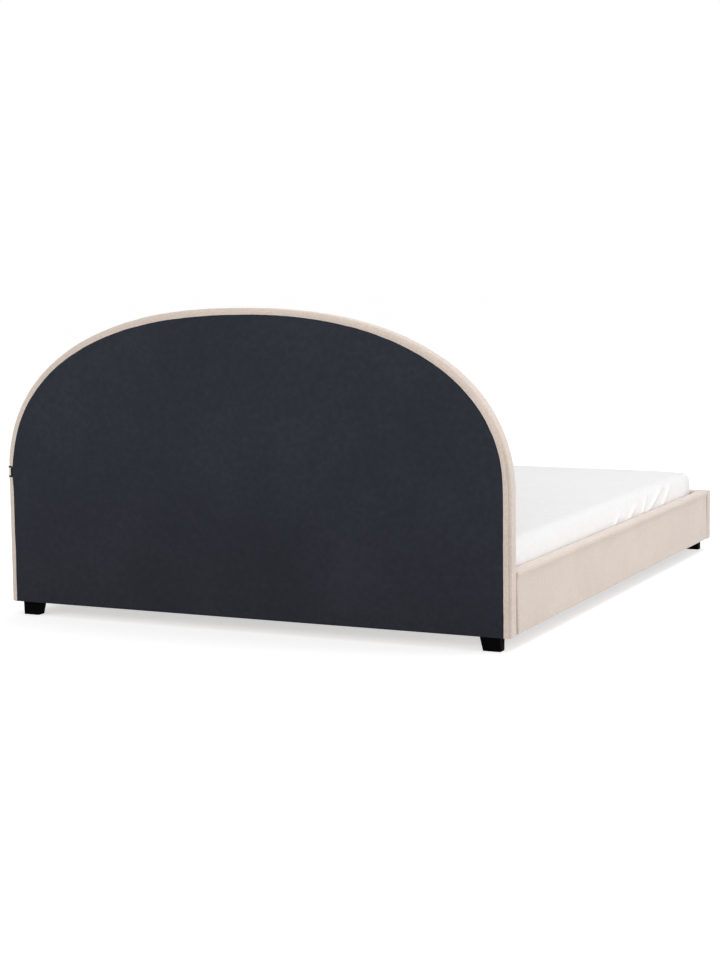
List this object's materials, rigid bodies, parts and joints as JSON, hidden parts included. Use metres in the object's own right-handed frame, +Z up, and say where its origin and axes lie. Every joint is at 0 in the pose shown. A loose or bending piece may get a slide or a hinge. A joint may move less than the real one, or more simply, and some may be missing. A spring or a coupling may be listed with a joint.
{
  "type": "upholstered double bed with mattress",
  "caption": "Double bed with a padded arched headboard, low padded rails, bowed slats on a steel centre beam, short tapered feet and a mattress set down between the rails.",
  "frame": {"origin": "on the floor under the middle of the bed, at the bottom centre of the bounding box", "axes": "+Z up, +Y towards the headboard along the bed, +X across it, to the right of a person who looks from the foot end at the headboard"},
  "size_m": [1.722, 2.141, 0.987],
  "materials": {
    "timber": "planed softwood",
    "hardboard": "smooth brown hardboard",
    "foam": "open-cell foam",
    "upholstery": "matte close-woven beige cloth",
    "dust_cloth": "matte non-woven cloth",
    "bright_steel": "zinc plated",
    "label": "plain woven tape with dark edges",
    "foot_plastic": "black, satin",
    "rail_board": "raw particle board",
    "coated_steel": "black powder coat",
    "cap_plastic": "black, moulded",
    "slat_ply": "clear lacquered beech ply",
    "mattress_fabric": "white knitted cover",
    "zip_tape": "white tape with a fine zip"
  },
  "bodies": {
    "frame": {"headboard_left_post": "timber", "headboard_right_post": "timber", "headboard_lower_centre_post": "timber", "headboard_upper_centre_post": "timber", "headboard_bottom_rail": "timber", "headboard_middle_rail": "timber", "headboard_arch_ribs": "timber", "headboard_front_board": "hardboard", "headboard_foam": "foam", "headboard_cover": "upholstery", "headboard_rear_hem": "upholstery", "headboard_back_cloth": "dust_cloth", "back_cloth_staples": "bright_steel", "blank_label": "label", "rear_left_foot": "foot_plastic", "rear_right_foot": "foot_plastic", "front_left_foot": "foot_plastic", "front_right_foot": "foot_plastic", "foot_screws": "bright_steel", "left_rail_board": "rail_board", "left_rail_foam": "foam", "left_rail_cover": "upholstery", "right_rail_board": "rail_board", "right_rail_foam": "foam", "right_rail_cover": "upholstery", "foot_rail_board": "rail_board", "foot_rail_foam": "foam", "foot_rail_cover": "upholstery", "left_ledge": "timber", "right_ledge": "timber", "ledge_screws": "bright_steel", "head_left_bracket": "coated_steel", "head_right_bracket": "coated_steel", "foot_left_bracket": "coated_steel", "foot_right_bracket": "coated_steel", "head_bolts": "bright_steel", "rail_bolts": "bright_steel", "bolt_washers": "bright_steel", "insert_nuts": "bright_steel", "centre_beam": "coated_steel", "head_beam_hanger": "coated_steel", "foot_beam_hanger": "coated_steel", "hanger_screws": "bright_steel", "beam_screws": "bright_steel", "head_centre_leg": "coated_steel", "foot_centre_leg": "coated_steel", "leg_plugs": "cap_plastic", "lock_nuts": "bright_steel", "left_slats": "slat_ply", "right_slats": "slat_ply", "left_slat_caps": "cap_plastic", "right_slat_caps": "cap_plastic", "centre_slat_caps": "cap_plastic"},
    "mattress": {"mattress_core": "foam", "mattress_top_cover": "mattress_fabric", "mattress_base_cover": "mattress_fabric", "mattress_zip": "zip_tape"},
    "head_foot": {"head_leveller": "cap_plastic"},
    "foot_foot": {"foot_leveller": "cap_plastic"}
  },
  "joints": [
    {"name": "mattress_lift", "type": "slide", "parent": "frame", "child": "mattress", "axis": [0, 0, 1], "range_m": [0, 0.88]},
    {"name": "head_leveller_screw", "type": "slide", "parent": "frame", "child": "head_foot", "axis": [0, 0, 1], "range_m": [0, 0.009]},
    {"name": "foot_leveller_screw", "type": "slide", "parent": "frame", "child": "foot_foot", "axis": [0, 0, 1], "range_m": [0, 0.009]}
  ]
}
